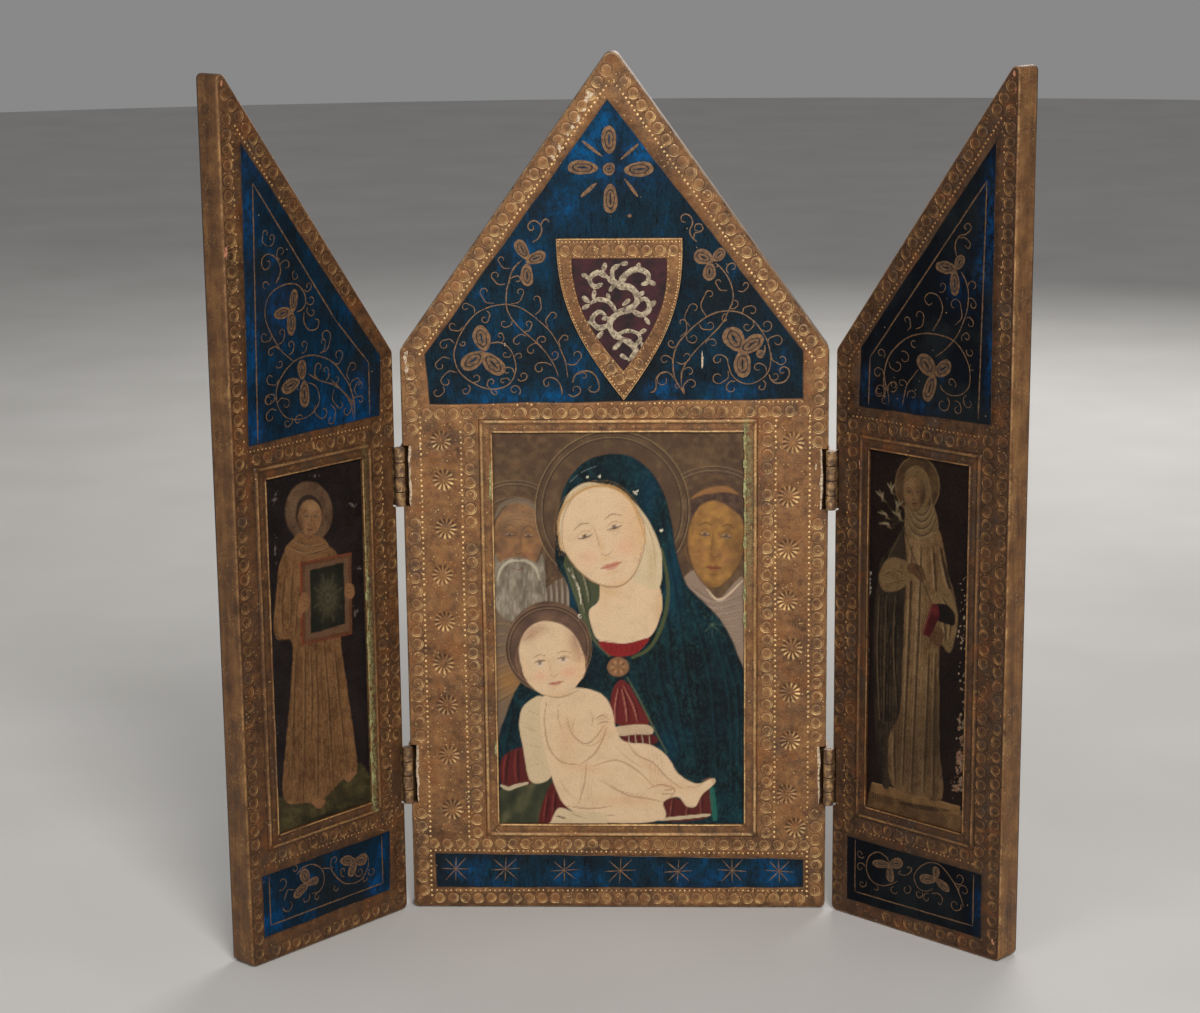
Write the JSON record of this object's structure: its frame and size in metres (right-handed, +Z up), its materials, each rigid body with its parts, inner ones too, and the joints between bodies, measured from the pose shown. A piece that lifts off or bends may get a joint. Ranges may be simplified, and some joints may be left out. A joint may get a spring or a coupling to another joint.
{
  "type": "folding triptych altarpiece",
  "caption": "Gabled wooden devotional panel with two half-gable wings that swing on butt hinges and fold shut over its front; gilt, punched and painted.",
  "frame": {"origin": "middle of the centre panel's flat underside, where it stands", "axes": "+Z up, -Y out of the centre panel's front, +X to the right as seen from the front; the wings stand open at rest"},
  "size_m": [0.4913, 0.1245, 0.5567],
  "materials": {
    "gilt_centre": "aged gilding over gesso on wood, punched and painted",
    "gilt_left": "aged gilding over gesso on wood, punched and painted",
    "gilt_right": "aged gilding over gesso on wood, punched and painted",
    "old_brass": "tarnished, with traces of gilding",
    "dull_steel": "dull and darkened"
  },
  "bodies": {
    "centre": {"centre_panel": "gilt_centre", "left_upper_hinge_centre_leaf": "old_brass", "left_upper_hinge_pin": "dull_steel", "left_upper_hinge_centre_screw_1": "dull_steel", "left_upper_hinge_centre_screw_2": "dull_steel", "left_lower_hinge_centre_leaf": "old_brass", "left_lower_hinge_pin": "dull_steel", "left_lower_hinge_centre_screw_1": "dull_steel", "left_lower_hinge_centre_screw_2": "dull_steel", "right_upper_hinge_centre_leaf": "old_brass", "right_upper_hinge_pin": "dull_steel", "right_upper_hinge_centre_screw_1": "dull_steel", "right_upper_hinge_centre_screw_2": "dull_steel", "right_lower_hinge_centre_leaf": "old_brass", "right_lower_hinge_pin": "dull_steel", "right_lower_hinge_centre_screw_1": "dull_steel", "right_lower_hinge_centre_screw_2": "dull_steel"},
    "left_wing": {"left_wing": "gilt_left", "left_upper_hinge_wing_leaf": "old_brass", "left_upper_hinge_wing_screw_1": "dull_steel", "left_upper_hinge_wing_screw_2": "dull_steel", "left_lower_hinge_wing_leaf": "old_brass", "left_lower_hinge_wing_screw_1": "dull_steel", "left_lower_hinge_wing_screw_2": "dull_steel"},
    "right_wing": {"right_wing": "gilt_right", "right_upper_hinge_wing_leaf": "old_brass", "right_upper_hinge_wing_screw_1": "dull_steel", "right_upper_hinge_wing_screw_2": "dull_steel", "right_lower_hinge_wing_leaf": "old_brass", "right_lower_hinge_wing_screw_1": "dull_steel", "right_lower_hinge_wing_screw_2": "dull_steel"}
  },
  "joints": [
    {"name": "left_wing_hinge", "type": "hinge", "parent": "centre", "child": "left_wing", "pos_m": [-0.1366, -0.0122, 0.1915], "axis": [0, 0, 1], "range_deg": [-50, 130]},
    {"name": "right_wing_hinge", "type": "hinge", "parent": "centre", "child": "right_wing", "pos_m": [0.1366, -0.0122, 0.1895], "axis": [0, 0, -1], "range_deg": [-42, 138]}
  ]
}
